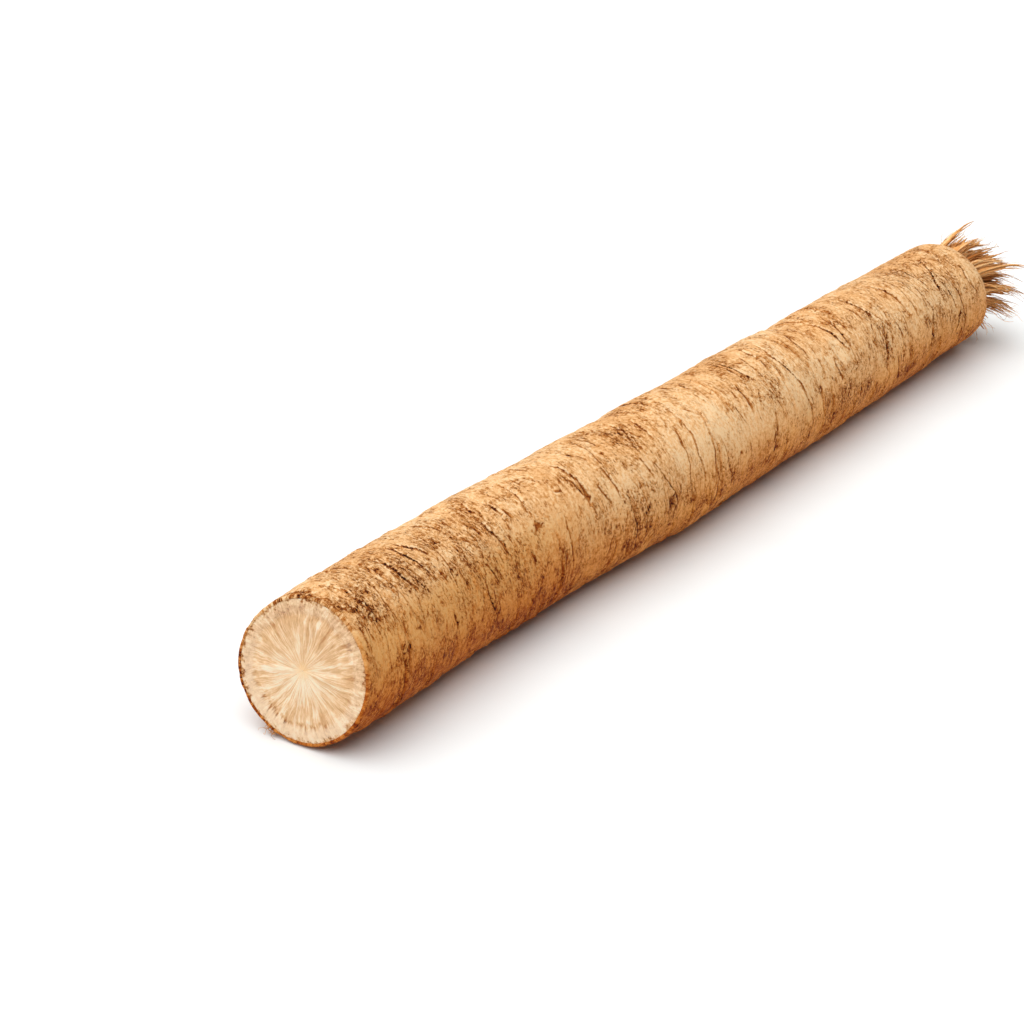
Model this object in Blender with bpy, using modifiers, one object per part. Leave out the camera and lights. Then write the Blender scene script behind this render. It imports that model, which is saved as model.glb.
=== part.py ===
"""A burdock root lying on its side: one cut length of taproot, with the fibrous crown still on its far end.

Metres, +Z up. The root lies along X, with the knife cut at -X and the crown at +X. The origin is on the
ground, under the middle of the whole length and breadth.
"""

import math
import random

import bmesh
import bpy
import numpy as np
from mathutils import Vector

MM = 0.001

# The taproot
ROOT_LENGTH = 0.247
CUT_RADIUS = 0.0150
CROWN_RADIUS = 0.0139
SEGMENTS = 36

# The knife cut is oblique: its plane leans back towards the top and away towards -Y
CUT_LEAN_UP = math.radians(11.8)
CUT_LEAN_SIDE = math.radians(7.9)
CUT_LEAN_REACH = 0.028
SKIN_THICKNESS = 0.0006
RIM_ROUNDING = 0.0013
FIRST_RING = 0.0036
PLAIN_CUT_END = 0.007
PLAIN_CROWN_END = 0.016

# The cut flesh: a growth ring sunk at a share of the radius, and rays as (how many, turn, height)
RING_SHARE = 0.74
RING_WIDTH = 0.06
RING_GROOVE = 0.00018
RAYS = ((7, 0.0, 0.00010), (11, 1.0, 0.00007), (15, 0.4, 0.00005))
FACE_SHARES = (0.0, 0.14, 0.34, 0.54, 0.67, RING_SHARE, 0.81, 0.90)

# The rounded shoulder at the crown, whose end leans back on the -Y side and underneath
SHOULDER = 0.0058
CROWN_LEAN_UP = math.radians(-6.8)
CROWN_LEAN_SIDE = math.radians(2.2)
CROWN_LEAN_REACH = 0.030

# The shallow hollow where the leaves grew, which breaks off the shoulder's arc
SHOULDER_TURN = math.radians(62)
SEAT_RADIUS = CROWN_RADIUS - SHOULDER * (1 - math.cos(SHOULDER_TURN))
SEAT_TOP = ROOT_LENGTH - SHOULDER * (1 - math.sin(SHOULDER_TURN))
SEAT_BOTTOM = SEAT_TOP - 0.0016
SEAT_DRAFT = 0.0003

# The thickness and the slow sideways bends: (mm from the cut, mm of radius, mm towards +Y)
SECTIONS = (
    (0, 15.00, 0.00),
    (10, 15.05, 0.05),
    (20, 15.08, 0.30),
    (30, 14.88, 1.05),
    (44, 14.90, 1.60),
    (60, 14.92, 1.92),
    (72, 14.96, 1.70),
    (81, 14.88, 1.35),
    (92, 15.08, 0.80),
    (106, 15.16, 0.20),
    (116, 15.50, -0.08),
    (122, 15.42, -0.10),
    (132, 15.02, 0.24),
    (142, 14.98, 0.48),
    (152, 15.12, 0.65),
    (165, 14.96, 0.80),
    (172, 14.62, 0.55),
    (180, 14.84, 0.62),
    (190, 14.60, 1.15),
    (201, 14.60, 1.40),
    (210, 14.62, 1.20),
    (217, 14.26, 1.15),
    (228, 14.12, 0.85),
    (238, 13.96, 0.60),
    (247, 13.90, 0.60),
)
# Where the cut end is flatter or fuller than a circle: (degrees from the top, spread, share of the radius)
CUT_SIDES = ((45, 30, -0.048), (112, 28, 0.032))
CUT_SIDES_REACH = 0.024
# Swellings of one side or another, as (lobes round the root, pitch along it, start, height)
LUMPS = ((2, 0.09, 0.37, 0.00014), (3, 0.0075, 0.0, 0.00012), (2, -0.0043, 1.1, 0.00009))

# The flat it rests on: how deep the middle is pressed, and how far the two ends stand clear
REST_DEPTH = 0.00060
REST_HALF_LENGTH = 0.070
REST_HALF_ANGLE = (math.radians(16), math.radians(34))
CUT_CLEARANCE = 0.00030
CROWN_CLEARANCE = 0.00130

# The main creases of the side that the photo shows: (mm from the cut, from and to degrees, mm deep).
# Degrees are turned from the top, and are negative towards -Y.
CREASES = (
    (6.5, -46, -8, 0.60),
    (21.0, -33, -4, 0.55),
    (26.2, -28, 3, 0.60),
    (30.4, -38, 20, 0.65),
    (43.5, -72, -50, 0.50),
    (48.6, -46, -16, 0.65),
    (54.6, -73, -57, 0.55),
    (59.4, -41, 1, 0.65),
    (75.0, -29, 3, 0.65),
    (81.0, -58, -18, 0.60),
    (85.6, -52, -26, 0.55),
    (95.0, -61, -45, 0.45),
    (102.0, -37, 7, 0.50),
    (114.5, -41, 1, 0.45),
    (123.8, -15, 5, 0.55),
    (134.8, -101, -84, 0.45),
    (140.5, -24, 9, 0.55),
    (145.5, -56, -30, 0.45),
    (156.2, -50, 19, 0.65),
    (173.0, -56, -40, 0.45),
    (178.2, -45, 6, 0.60),
    (192.6, -38, 5, 0.65),
    (198.5, -51, -35, 0.45),
    (208.6, -46, 1, 0.60),
    (219.0, -52, -33, 0.55),
    (226.6, -57, -5, 0.65),
    (231.5, -92, -62, 0.50),
    (235.6, -52, -24, 0.50),
)
# The other creases: broken arcs at a random turn, on the same lines and on more lines between them
WRINKLE_SEED = 11
WRINKLE_STEP = 0.0056
WRINKLE_HALF_ARC = (0.35, 1.0)
WRINKLE_DEPTH = (0.00036, 0.00074)
WRINKLE_WIDTH = 0.0010
GROOVE_WIDTH = 0.62 * WRINKLE_WIDTH
LIP_WIDTH = 0.50 * WRINKLE_WIDTH
LIP_SHARE = 0.40
# How far along the root the rings are pushed, in the same form as the swellings
WANDERS = ((1, 0.0095, 0.0, 0.00080), (2, -0.0060, 1.3, 0.00036))

# Scars of old rootlets: low round knobs
SCAR_SEED = 5
SCAR_COUNT = 26
SCAR_MARGIN = 0.020
SCAR_SPREAD = (0.0015, 0.0025)
SCAR_HEIGHT = (0.00025, 0.00048)

# The crown's fibres: the strands of dead leaf stalks, which fan out of one low stub
STUB_GAP = 0.00035
STUB_RADIUS = SEAT_RADIUS - SEAT_DRAFT - STUB_GAP
STUB_HEIGHT = 0.0024
STUB_SEGMENTS = 24
FIBRE_SEED = 23
FIBRE_COUNT = 104
FIBRE_POINTS = 6
FIBRE_LENGTH = (0.0110, 0.0210)
FIBRE_BASE = 0.00066
FIBRE_TIP = 0.00036
FIBRE_SUNK = 0.0011
FIBRE_REACH = 0.93
FIBRE_JITTER = 0.15
LONG_FIBRE_RARITY = 1.3
START_TILT = math.radians(17)
TIP_TILT = math.radians(38)
STRAY = 0.14
DROOP = (0.0010, 0.0050)
# The fibres are swept towards one side, and those next to the ground are worn short
SWEEP = Vector((0.0, -0.50, -0.16))
WORN_SIDE = (-0.05, 0.70)
WORN_SHARE = 0.63
LOW_FIBRE = 0.0040
LOWEST_FIBRE = 0.0010

# Points closer than this are one point
WELD = 0.00001

BARK_COLOUR = (0.62, 0.40, 0.20, 1.0)
FIBRE_COLOUR = (0.42, 0.25, 0.12, 1.0)


def smooth(low, high, value):
    """0 below low, 1 above high, and an even curve between them."""
    t = np.clip((value - low) / (high - low), 0.0, 1.0)
    return t * t * (3.0 - 2.0 * t)


def through(station, column):
    """One column of SECTIONS, in metres, on a smooth curve through its rows."""
    places, values = MM * np.array([(row[0], row[column]) for row in SECTIONS]).T
    slopes = np.gradient(values, places)
    row = np.clip(np.searchsorted(places, station, side="right") - 1, 0, len(places) - 2)
    step = places[row + 1] - places[row]
    t = np.clip((station - places[row]) / step, 0.0, 1.0)
    start = (1.0 - t) ** 2 * ((1.0 + 2.0 * t) * values[row] + t * step * slopes[row])
    end = t**2 * ((3.0 - 2.0 * t) * values[row + 1] + (t - 1.0) * step * slopes[row + 1])
    return start + end


def turned_away(angle, middle):
    """How far an angle is from a middle one, the short way round."""
    return np.abs((angle - middle + math.pi) % (2 * math.pi) - math.pi)


def mean_radius(station):
    """The root's radius at a distance from the cut."""
    return through(station, 1)


def pressed_share(station):
    """1 along the stretch that the root rests on, falling to 0 at the two ends."""
    return 1.0 - smooth(REST_HALF_LENGTH, ROOT_LENGTH / 2, np.abs(station - ROOT_LENGTH / 2))


def centre_line(station):
    """(sideways, height) of the root's middle at a distance from the cut."""
    clearance = np.where(station < ROOT_LENGTH / 2, CUT_CLEARANCE, CROWN_CLEARANCE)
    pressed = pressed_share(station)
    lift = clearance * (1.0 - pressed) - REST_DEPTH * pressed
    return through(station, 2), mean_radius(station) + lift


def bark_share(station, angle):
    """How much of the bark's relief shows: none at the two ends, nor where the root is pressed flat."""
    start = smooth(0.0, PLAIN_CUT_END, station)
    end = 1.0 - smooth(ROOT_LENGTH - PLAIN_CROWN_END, ROOT_LENGTH - SHOULDER, station)
    under = 1.0 - smooth(*REST_HALF_ANGLE, turned_away(angle, math.pi))
    return start * end * (1.0 - under * pressed_share(station))


def random_arc(draw, turn):
    return turn, draw.uniform(*WRINKLE_HALF_ARC), draw.uniform(*WRINKLE_DEPTH)


def wrinkle_lines():
    """[(distance from the cut, [(middle angle, half arc, depth), ...])], from the cut to the crown."""
    draw = random.Random(WRINKLE_SEED)
    lines = []
    for place, start, end, depth in CREASES:
        seen = (math.radians(start + end) / 2, math.radians(end - start) / 2, depth * MM)
        behind = random_arc(draw, math.radians(draw.uniform(60, 150)))
        below = random_arc(draw, math.radians(draw.uniform(170, 260)))
        lines.append((place * MM, [seen, behind, below]))
    for (here, _), (after, _) in zip(lines[:], lines[1:]):
        more = round((after - here) / WRINKLE_STEP) - 1
        for number in range(max(0, more)):
            place = here + (after - here) * (number + draw.uniform(0.85, 1.15)) / (more + 1)
            turn = draw.uniform(0, 2 * math.pi)
            arcs = [random_arc(draw, turn), random_arc(draw, turn + draw.uniform(2.4, 3.8))]
            lines.append((place, arcs))
    return sorted(lines)


def wrinkle_relief(station, angle):
    """Height of the creases and their lips above the plain bark."""
    height = np.zeros_like(station)
    for line, arcs in wrinkle_lines():
        away = np.abs(station - line)
        groove = np.exp(-((away / GROOVE_WIDTH) ** 2))
        lip = LIP_SHARE * np.exp(-(((away - WRINKLE_WIDTH) / LIP_WIDTH) ** 2))
        for middle, half, depth in arcs:
            window = np.sqrt(np.clip(1.0 - (turned_away(angle, middle) / half) ** 2, 0.0, 1.0))
            height += depth * window * (lip - groove)
    return height


def scar_relief(station, angle):
    """Height of the rootlet scars above the plain bark."""
    draw = random.Random(SCAR_SEED)
    height = np.zeros_like(station)
    for _ in range(SCAR_COUNT):
        place = draw.uniform(SCAR_MARGIN, ROOT_LENGTH - SCAR_MARGIN)
        round_it = turned_away(angle, draw.uniform(0, 2 * math.pi)) * CUT_RADIUS
        rise = draw.uniform(*SCAR_HEIGHT)
        spread = draw.uniform(*SCAR_SPREAD)
        height += rise * np.exp(-((station - place) ** 2 + round_it**2) / spread**2)
    return height


def waves(station, angle, rows):
    """The sum of waves that wind round the root, each given as (lobes, pitch, start, height)."""
    return sum(
        height * np.sin(lobes * angle + station / pitch + start) for lobes, pitch, start, height in rows
    )


def lean(station, side, height):
    """How far along X the oblique cut and the leaning crown move a point that is off the centre line."""
    cut = height * math.tan(CUT_LEAN_UP) - side * math.tan(CUT_LEAN_SIDE)
    crown = height * math.tan(CROWN_LEAN_UP) + side * math.tan(CROWN_LEAN_SIDE)
    near_cut = 1.0 - smooth(0.0, CUT_LEAN_REACH, station)
    near_crown = smooth(ROOT_LENGTH - CROWN_LEAN_REACH, ROOT_LENGTH - SHOULDER, station)
    return cut * near_cut + crown * near_crown


def out_of_round(station, angle):
    """How much wider or narrower than a circle the cut end is, as a factor."""
    near_cut = 1.0 - smooth(0.0, CUT_SIDES_REACH, station)
    sides = sum(
        share * np.exp(-((turned_away(angle, math.radians(middle)) / math.radians(spread)) ** 2))
        for middle, spread, share in CUT_SIDES
    )
    return 1.0 + near_cut * sides


def placed(station, angle, radius):
    """Points of the lying root, from distances from the cut, turns from the top, and radii."""
    middle_y, middle_z = centre_line(station)
    radius = radius * out_of_round(station, angle)
    side, height = radius * np.sin(angle), radius * np.cos(angle)
    x = station - ROOT_LENGTH / 2 + lean(station, side, height)
    return np.stack([x, middle_y + side, np.maximum(middle_z + height, 0.0)], axis=1)


def cut_face_relief(share, angle):
    """Height of the cut flesh, out of the face: the sunk growth ring and the rays from the pith."""
    ring = -RING_GROOVE * np.exp(-(((share - RING_SHARE) / RING_WIDTH) ** 2))
    rays = sum(height * np.sin(number * angle + turn) for number, turn, height in RAYS)
    return ring + rays * np.sin(math.pi * np.clip(share, 0.0, 1.0))


def arc(steps, last):
    """Evenly spaced angles from 0 to the last."""
    return [step / steps * last for step in range(steps + 1)]


def root_profile():
    """(radius, distance from the cut) of the turned outline, from the cut's middle to the hollow."""
    flesh = CUT_RADIUS - SKIN_THICKNESS
    face = [(share * CUT_RADIUS, 0.0) for share in FACE_SHARES]
    rounded = (CUT_RADIUS - 0.3 * SKIN_THICKNESS, 0.3 * RIM_ROUNDING)
    rim = [(flesh, 0.0), rounded, (CUT_RADIUS, RIM_ROUNDING)]
    stations = [FIRST_RING]
    for line, _ in wrinkle_lines():
        stations += [line - WRINKLE_WIDTH, line, line + WRINKLE_WIDTH]
    body = [(float(mean_radius(station)), station) for station in stations]
    shoulder = [
        (CROWN_RADIUS - SHOULDER * (1 - math.cos(turn)), ROOT_LENGTH - SHOULDER * (1 - math.sin(turn)))
        for turn in arc(5, SHOULDER_TURN)
    ]
    seat = [(share * (SEAT_RADIUS - SEAT_DRAFT), SEAT_BOTTOM) for share in (1.0, 0.5, 0.0)]
    return face + rim + body + shoulder + seat


def stub_profile():
    """The same for the stub of the leaf stalks, from under it to the top of its low dome."""
    under = [(share * STUB_RADIUS, SEAT_BOTTOM + STUB_GAP) for share in (0.0, 0.5, 1.0)]
    dome = [(STUB_RADIUS * math.cos(turn), stub_top(math.cos(turn))) for turn in arc(4, math.pi / 2)]
    return under + dome[:-1] + [(0.0, stub_top(0.0))]


def stub_top(share):
    """Distance from the cut of the stub's dome, at a share of its radius."""
    return SEAT_TOP + STUB_HEIGHT * math.sqrt(1.0 - share**2)


def evaluated_mesh(obj):
    graph = bpy.context.evaluated_depsgraph_get()
    return bpy.data.meshes.new_from_object(obj.evaluated_get(graph), depsgraph=graph)


def turned(name, profile, segments):
    """A closed mesh turned round Z from an outline of (radius, distance down)."""
    outline = bpy.data.meshes.new(name + "_outline")
    points = [(radius, 0.0, -down) for radius, down in profile]
    outline.from_pydata(points, [(i, i + 1) for i in range(len(points) - 1)], [])
    holder = bpy.data.objects.new(name + "_outline", outline)
    bpy.context.scene.collection.objects.link(holder)
    screw = holder.modifiers.new("Turned", "SCREW")
    screw.axis = "Z"
    screw.steps = segments
    screw.render_steps = segments
    screw.use_merge_vertices = True
    screw.merge_threshold = WELD
    mesh = evaluated_mesh(holder)
    mesh.name = name
    bpy.data.objects.remove(holder)
    return mesh


def coordinates(mesh):
    flat = np.empty(3 * len(mesh.vertices), np.float32)
    mesh.vertices.foreach_get("co", flat)
    return flat.reshape(-1, 3).astype(float)


def move_to(mesh, points):
    mesh.vertices.foreach_set("co", points.astype(np.float32).ravel())
    mesh.update()


def cylinder_coordinates(mesh):
    """(distance down, angle from +X, radius) of each vertex of a mesh that was turned round Z."""
    x, y, z = coordinates(mesh).T
    return -z, np.arctan2(y, x), np.hypot(x, y)


def material(name, colour, roughness):
    made = bpy.data.materials.new(name)
    made.use_nodes = True
    shader = made.node_tree.nodes["Principled BSDF"]
    shader.inputs["Base Color"].default_value = colour
    shader.inputs["Roughness"].default_value = roughness
    shader.inputs["Metallic"].default_value = 0.0
    return made


def make_root(collection):
    mesh = turned("root", root_profile(), SEGMENTS)
    station, angle, radius = cylinder_coordinates(mesh)
    bark = bark_share(station, angle)
    relief = wrinkle_relief(station, angle) + scar_relief(station, angle) + waves(station, angle, LUMPS)
    sunk = -cut_face_relief(radius / CUT_RADIUS, angle)
    pushed = station + bark * waves(station, angle, WANDERS)
    on_face = station < WELD
    move_to(mesh, placed(np.where(on_face, sunk, pushed), angle, radius + bark * relief))
    root = bpy.data.objects.new("root", mesh)
    root.data.materials.append(material("bark", BARK_COLOUR, 0.8))
    root.data.shade_smooth()
    root.data.set_sharp_from_angle(angle=math.radians(40))
    collection.objects.link(root)
    return root


def fibre_path(number, draw):
    """The points of one fibre, from inside the stub out to its tip."""
    spread = math.sqrt((number + 0.5) / FIBRE_COUNT)
    turn = number * math.pi * (3.0 - math.sqrt(5.0)) + draw.uniform(-FIBRE_JITTER, FIBRE_JITTER)
    reach = FIBRE_REACH * spread
    depth = stub_top(reach) - FIBRE_SUNK
    place = Vector(placed(np.array([depth]), np.array([turn]), np.array([reach * STUB_RADIUS]))[0])
    outward = Vector((0.0, math.sin(turn), math.cos(turn)))
    stray = Vector([draw.uniform(-STRAY, STRAY) for _ in range(3)])
    length = FIBRE_LENGTH[0] + (FIBRE_LENGTH[1] - FIBRE_LENGTH[0]) * draw.random() ** LONG_FIBRE_RARITY
    length *= 1.0 - WORN_SHARE * float(smooth(*WORN_SIDE, -outward.z * spread))
    droop = draw.uniform(*DROOP)
    step = length / (FIBRE_POINTS - 1)
    points = [place.copy()]
    for number in range(FIBRE_POINTS - 1):
        share = (number + 0.5) / (FIBRE_POINTS - 1)
        tilt = spread * (START_TILT + (TIP_TILT - START_TILT) * share)
        heading = Vector((math.cos(tilt), 0.0, 0.0)) + outward * math.sin(tilt)
        heading += share * (SWEEP + 2.0 * stray)
        place += heading.normalized() * step
        place.z -= droop * 2.0 * share / (FIBRE_POINTS - 1)
        points.append(place.copy())
    for point in points:
        point.z = kept_up(point.z)
    return points


def kept_up(height):
    """The height of a fibre that bends along the ground instead of into it."""
    if height > LOW_FIBRE:
        return height
    room = LOW_FIBRE - LOWEST_FIBRE
    return LOWEST_FIBRE + room * math.exp((height - LOW_FIBRE) / room)


def make_fibre(number, draw):
    """One fibre as a closed, tapering mesh of four sides."""
    points = fibre_path(number, draw)
    curve = bpy.data.curves.new("fibre", "CURVE")
    curve.dimensions = "3D"
    curve.bevel_depth = FIBRE_BASE
    curve.bevel_resolution = 0
    curve.use_fill_caps = True
    spline = curve.splines.new("POLY")
    spline.points.add(len(points) - 1)
    for step, point in enumerate(points):
        share = step / (len(points) - 1)
        spline.points[step].co = (*point, 1.0)
        spline.points[step].radius = 1.0 + (FIBRE_TIP / FIBRE_BASE - 1.0) * share
    holder = bpy.data.objects.new("fibre", curve)
    bpy.context.scene.collection.objects.link(holder)
    mesh = evaluated_mesh(holder)
    bpy.data.objects.remove(holder)
    shell = bmesh.new()
    shell.from_mesh(mesh)
    bmesh.ops.remove_doubles(shell, verts=shell.verts, dist=WELD)
    bmesh.ops.recalc_face_normals(shell, faces=shell.faces)
    shell.to_mesh(mesh)
    shell.free()
    return bpy.data.objects.new(f"fibre_{number:02d}", mesh)


def make_crown(collection):
    """The stub and all its fibres, joined into one body."""
    fibres = bpy.data.collections.new("fibres")
    bpy.context.scene.collection.children.link(fibres)
    draw = random.Random(FIBRE_SEED)
    for number in range(FIBRE_COUNT):
        fibres.objects.link(make_fibre(number, draw))
    stub = turned("stub", stub_profile(), STUB_SEGMENTS)
    move_to(stub, placed(*cylinder_coordinates(stub)))
    crown = bpy.data.objects.new("crown_fibres", stub)
    collection.objects.link(crown)
    join = crown.modifiers.new("Join", "BOOLEAN")
    join.operation = "UNION"
    join.operand_type = "COLLECTION"
    join.collection = fibres
    join.solver = "MANIFOLD"
    joined = evaluated_mesh(crown)
    crown.modifiers.remove(join)
    crown.data = joined
    for fibre in list(fibres.objects):
        bpy.data.objects.remove(fibre)
    bpy.data.collections.remove(fibres)
    crown.data.materials.clear()
    crown.data.materials.append(material("dry_fibre", FIBRE_COLOUR, 0.9))
    return crown


def put_over_origin(objects):
    """Moves the meshes so that the middle of their whole length and breadth is at X and Y zero."""
    points = np.concatenate([coordinates(obj.data) for obj in objects])
    middle = (points.min(axis=0) + points.max(axis=0)) / 2
    for obj in objects:
        move_to(obj.data, coordinates(obj.data) - [middle[0], middle[1], 0.0])


def main():
    for old in list(bpy.data.objects):
        bpy.data.objects.remove(old)
    collection = bpy.data.collections.new("burdock_root")
    bpy.context.scene.collection.children.link(collection)
    put_over_origin([make_root(collection), make_crown(collection)])


main()
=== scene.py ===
"""A burdock root on a plain white floor: cracked bark, a fibrous cut face, and a dry tuft at the crown.

Lengths are in metres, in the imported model's frame. The form repeats the formulas and the random draws that
the CAD model is made with, and finer relief is added on top of it.
"""

import itertools
import random
from math import cos, exp, pi, radians, sin, sqrt, tan

import bpy
import numpy as np
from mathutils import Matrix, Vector


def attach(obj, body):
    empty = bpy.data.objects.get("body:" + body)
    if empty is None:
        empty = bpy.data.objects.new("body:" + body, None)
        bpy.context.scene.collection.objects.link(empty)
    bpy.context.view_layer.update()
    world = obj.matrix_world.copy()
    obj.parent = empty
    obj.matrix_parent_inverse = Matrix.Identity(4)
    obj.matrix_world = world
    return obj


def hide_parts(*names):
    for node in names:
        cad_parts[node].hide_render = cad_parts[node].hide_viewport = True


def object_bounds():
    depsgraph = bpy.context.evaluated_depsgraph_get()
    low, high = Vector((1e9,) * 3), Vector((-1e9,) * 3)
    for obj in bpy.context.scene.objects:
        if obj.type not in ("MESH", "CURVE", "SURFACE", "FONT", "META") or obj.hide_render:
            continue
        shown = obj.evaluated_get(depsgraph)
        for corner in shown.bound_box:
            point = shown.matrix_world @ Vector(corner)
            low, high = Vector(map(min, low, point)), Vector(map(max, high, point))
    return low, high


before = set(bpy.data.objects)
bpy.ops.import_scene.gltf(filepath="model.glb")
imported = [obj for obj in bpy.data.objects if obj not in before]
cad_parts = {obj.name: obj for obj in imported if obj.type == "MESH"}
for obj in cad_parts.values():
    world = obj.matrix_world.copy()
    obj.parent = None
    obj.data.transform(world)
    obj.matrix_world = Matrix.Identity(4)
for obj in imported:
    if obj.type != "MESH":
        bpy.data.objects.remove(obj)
cad_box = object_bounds()

MM = 0.001

# The taproot's form, as in the CAD model
ROOT_LENGTH = 0.247
CUT_RADIUS = 0.0150
CROWN_RADIUS = 0.0139
CUT_LEAN_UP = radians(11.8)
CUT_LEAN_SIDE = radians(7.9)
CUT_LEAN_REACH = 0.028
PLAIN_CUT_END = 0.007
PLAIN_CROWN_END = 0.016
RING_SHARE = 0.74
RING_WIDTH = 0.06
RING_GROOVE = 0.00018
RAYS = ((7, 0.0, 0.00010), (11, 1.0, 0.00007), (15, 0.4, 0.00005))
SHOULDER = 0.0058
CROWN_LEAN_UP = radians(-6.8)
CROWN_LEAN_SIDE = radians(2.2)
CROWN_LEAN_REACH = 0.030
SHOULDER_TURN = radians(62)
SEAT_RADIUS = CROWN_RADIUS - SHOULDER * (1 - cos(SHOULDER_TURN))
SEAT_TOP = ROOT_LENGTH - SHOULDER * (1 - sin(SHOULDER_TURN))
SEAT_BOTTOM = SEAT_TOP - 0.0016
SEAT_DRAFT = 0.0003

# The thickness and the slow sideways bends: (mm from the cut, mm of radius, mm towards +Y)
SECTIONS = (
    (0, 15.00, 0.00), (10, 15.05, 0.05), (20, 15.08, 0.30), (30, 14.88, 1.05), (44, 14.90, 1.60),
    (60, 14.92, 1.92), (72, 14.96, 1.70), (81, 14.88, 1.35), (92, 15.08, 0.80), (106, 15.16, 0.20),
    (116, 15.50, -0.08), (122, 15.42, -0.10), (132, 15.02, 0.24), (142, 14.98, 0.48),
    (152, 15.12, 0.65), (165, 14.96, 0.80), (172, 14.62, 0.55), (180, 14.84, 0.62),
    (190, 14.60, 1.15), (201, 14.60, 1.40), (210, 14.62, 1.20), (217, 14.26, 1.15),
    (228, 14.12, 0.85), (238, 13.96, 0.60), (247, 13.90, 0.60),
)
# Where the cut end is flatter or fuller than a circle: (degrees from the top, spread, share of the radius)
CUT_SIDES = ((45, 30, -0.048), (112, 28, 0.032))
CUT_SIDES_REACH = 0.024
# Swellings of one side or another, as (lobes round the root, pitch along it, start, height)
LUMPS = ((2, 0.09, 0.37, 0.00014), (3, 0.0075, 0.0, 0.00012), (2, -0.0043, 1.1, 0.00009))

REST_DEPTH = 0.00060
REST_HALF_LENGTH = 0.070
REST_HALF_ANGLE = (radians(16), radians(34))
CUT_CLEARANCE = 0.00030
CROWN_CLEARANCE = 0.00130
WANDERS = ((1, 0.0095, 0.0, 0.00080), (2, -0.0060, 1.3, 0.00036))
SCAR_SEED = 5
SCAR_COUNT = 26
SCAR_MARGIN = 0.020
SCAR_SPREAD = (0.0015, 0.0025)
SCAR_HEIGHT = (0.00025, 0.00048)

# Where the CAD model's centring puts the root's own middle
ROOT_MIDDLE = np.array([-0.008486, 0.000533, 0.0])

# The CAD model's creases, in mm from the cut. Those in view are among LONG_CRACKS, and the rest lie at the
# back, between these degrees from the top.
CREASE_PLACES = (
    6.5, 21.0, 26.2, 30.4, 43.5, 48.6, 54.6, 59.4, 75.0, 81.0, 85.6, 95.0, 102.0, 114.5,
    123.8, 134.8, 140.5, 145.5, 156.2, 173.0, 178.2, 192.6, 198.5, 208.6, 219.0, 226.6, 231.5, 235.6,
)
CREASE_TURNS = ((60, 150), (170, 260))
# The ring wrinkles between the creases, as in the CAD model
WRINKLE_SEED = 11
WRINKLE_STEP = 0.0056
WRINKLE_SHIFT = (0.85, 1.15)
WRINKLE_OPPOSITE = (2.4, 3.8)
WRINKLE_HALF_ARC = (0.35, 1.0)
WRINKLE_DEPTH = (0.00036, 0.00074)
# How creases and wrinkles look here: faint folds, with a few finer splits beside each
FOLD_WIDTH = 0.00024
FOLD_DARKNESS = 0.42
FOLD_SHARE = 0.75
FOLD_SLANT = 0.0010
SPLIT_COUNT = 3
SPLIT_AWAY = 0.0015
SPLIT_TURN = 0.9
SPLIT_SIZE = (0.12, 0.40)
SPLIT_WIDTH = 0.00026
SPLIT_SHARE = 0.30
SPLIT_SLANT = 0.0006

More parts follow.
